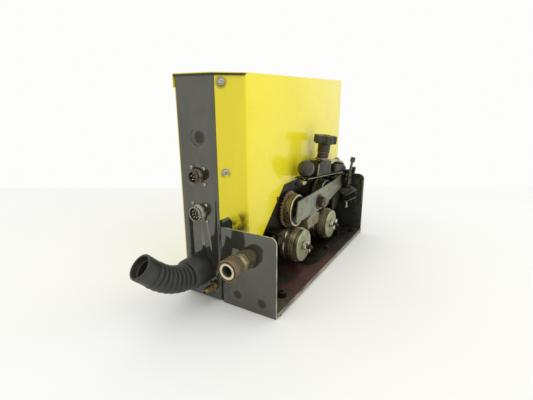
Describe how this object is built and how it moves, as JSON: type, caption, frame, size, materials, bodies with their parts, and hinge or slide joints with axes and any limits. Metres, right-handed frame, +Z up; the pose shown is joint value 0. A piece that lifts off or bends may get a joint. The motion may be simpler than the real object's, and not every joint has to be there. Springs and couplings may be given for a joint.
{
  "type": "welding wire feeder",
  "caption": "Open-sided welding wire feeder: a tall sheet-metal enclosure on a base board beside a geared four-roll wire drive with a swinging roller arm, lever and tension knob.",
  "frame": {"origin": "centre of the base tray's underside", "axes": "+Z up, -Y the front panel's side, +X the open side with the wire drive"},
  "size_m": [0.179, 0.5596, 0.36],
  "materials": {
    "yellow_paint": "semi-gloss powder paint, scuffed and oil-stained low down",
    "black_paint": "gloss black enamel, worn pale at the edges",
    "dark_steel": "oily dark casting and gears",
    "worn_steel": "worn, greasy bare steel",
    "zinc": "dull yellow zinc plate",
    "rust_steel": "brown rusted steel",
    "brass": "tarnished",
    "rubber": "matt moulded rubber",
    "black_plastic": "satin phenolic plastic",
    "board": "oily red-brown laminate",
    "circuit": "circuit board"
  },
  "bodies": {
    "frame": {"base_board": "board", "base_tray": "black_paint", "boot_lock_ring": "black_plastic", "cable_boot": "rubber", "centre_guide": "worn_steel", "control_board": "circuit", "coupler_body": "worn_steel", "coupler_nut": "rust_steel", "cover": "yellow_paint", "drive_foot": "dark_steel", "drive_motor": "black_paint", "drive_plate": "dark_steel", "front_bracket": "black_paint", "front_panel": "black_paint", "gas_nipple": "brass", "gas_valve": "brass", "gearbox": "worn_steel", "inlet_block": "dark_steel", "inlet_guide": "brass", "left_panel": "yellow_paint", "lower_front_axle": "worn_steel", "lower_rear_axle": "worn_steel", "outlet_block": "dark_steel", "outlet_guide": "brass", "pivot_bracket": "dark_steel", "pivot_pin": "worn_steel", "rear_bracket": "black_paint", "rear_panel": "black_paint", "socket_large_insert": "black_plastic", "socket_large_shell": "dark_steel", "socket_small_insert": "black_plastic", "socket_small_shell": "dark_steel", "stop_screw": "rust_steel"},
    "drive_shaft": {"drive_gear": "dark_steel"},
    "lower_front": {"lower_front_gear": "dark_steel", "lower_front_roll": "worn_steel", "lower_front_disc": "zinc"},
    "lower_rear": {"lower_rear_gear": "dark_steel", "lower_rear_roll": "worn_steel", "lower_rear_disc": "zinc"},
    "upper_front": {"upper_front_gear": "dark_steel", "upper_front_roll": "worn_steel"},
    "upper_rear": {"upper_rear_gear": "dark_steel", "upper_rear_roll": "worn_steel"},
    "front_wing_screw": {"lower_front_wing_screw": "zinc"},
    "rear_wing_screw": {"lower_rear_wing_screw": "zinc"},
    "arm": {"roller_arm": "worn_steel", "arm_bolt": "rust_steel", "upper_front_axle": "worn_steel", "upper_rear_axle": "worn_steel"},
    "lever": {"release_lever": "dark_steel", "pressure_block": "dark_steel", "top_strap": "worn_steel", "ball_knob": "black_plastic", "ball_stud": "zinc", "pressure_rod": "worn_steel", "tension_spring": "worn_steel"},
    "tension_knob": {"tension_knob": "black_plastic"},
    "coupler_sleeve": {"coupler_sleeve": "rust_steel"}
  },
  "joints": [
    {"name": "drive_gear_turn", "type": "hinge", "parent": "frame", "child": "drive_shaft", "pos_m": [0.0168, 0.02, 0.0537], "axis": [1, 0, 0], "continuous": true},
    {"name": "lower_front_turn", "type": "hinge", "parent": "frame", "child": "lower_front", "pos_m": [0.0168, -0.05, 0.0537], "axis": [1, 0, 0], "continuous": true},
    {"name": "lower_rear_turn", "type": "hinge", "parent": "frame", "child": "lower_rear", "pos_m": [0.0168, 0.09, 0.0537], "axis": [1, 0, 0], "continuous": true},
    {"name": "upper_front_turn", "type": "hinge", "parent": "arm", "child": "upper_front", "pos_m": [0.0168, -0.046, 0.1197], "axis": [1, 0, 0], "continuous": true},
    {"name": "upper_rear_turn", "type": "hinge", "parent": "arm", "child": "upper_rear", "pos_m": [0.0168, 0.094, 0.1197], "axis": [1, 0, 0], "continuous": true},
    {"name": "front_wing_screw_turn", "type": "hinge", "parent": "lower_front", "child": "front_wing_screw", "pos_m": [0.055, -0.05, 0.0537], "axis": [1, 0, 0], "continuous": true},
    {"name": "rear_wing_screw_turn", "type": "hinge", "parent": "lower_rear", "child": "rear_wing_screw", "pos_m": [0.055, 0.09, 0.0537], "axis": [1, 0, 0], "continuous": true},
    {"name": "release_lever_lift", "type": "hinge", "parent": "frame", "child": "lever", "pos_m": [0.019, 0.176, 0.135], "axis": [-1, 0, 0], "range_deg": [0, 38]},
    {"name": "roller_arm_lift", "type": "hinge", "parent": "frame", "child": "arm", "pos_m": [0.043, 0.176, 0.135], "axis": [-1, 0, 0], "range_deg": [0, 19]},
    {"name": "tension_knob_turn", "type": "hinge", "parent": "lever", "child": "tension_knob", "pos_m": [0.042, 0.046, 0.17], "axis": [0.086, 0.051, 0.995], "continuous": true},
    {"name": "coupler_sleeve_slide", "type": "slide", "parent": "frame", "child": "coupler_sleeve", "axis": [0, 1, 0], "range_m": [0, 0.005], "stiffness_N_per_m": 400}
  ],
  "couplings": [
    {"joint": "lower_front_turn", "follows": "drive_gear_turn", "ratio": -1.1875},
    {"joint": "lower_rear_turn", "follows": "drive_gear_turn", "ratio": -1.1875},
    {"joint": "upper_front_turn", "follows": "drive_gear_turn", "ratio": 1.1176},
    {"joint": "upper_rear_turn", "follows": "drive_gear_turn", "ratio": 1.1176},
    {"joint": "roller_arm_lift", "follows": "release_lever_lift", "ratio": 0.5}
  ]
}
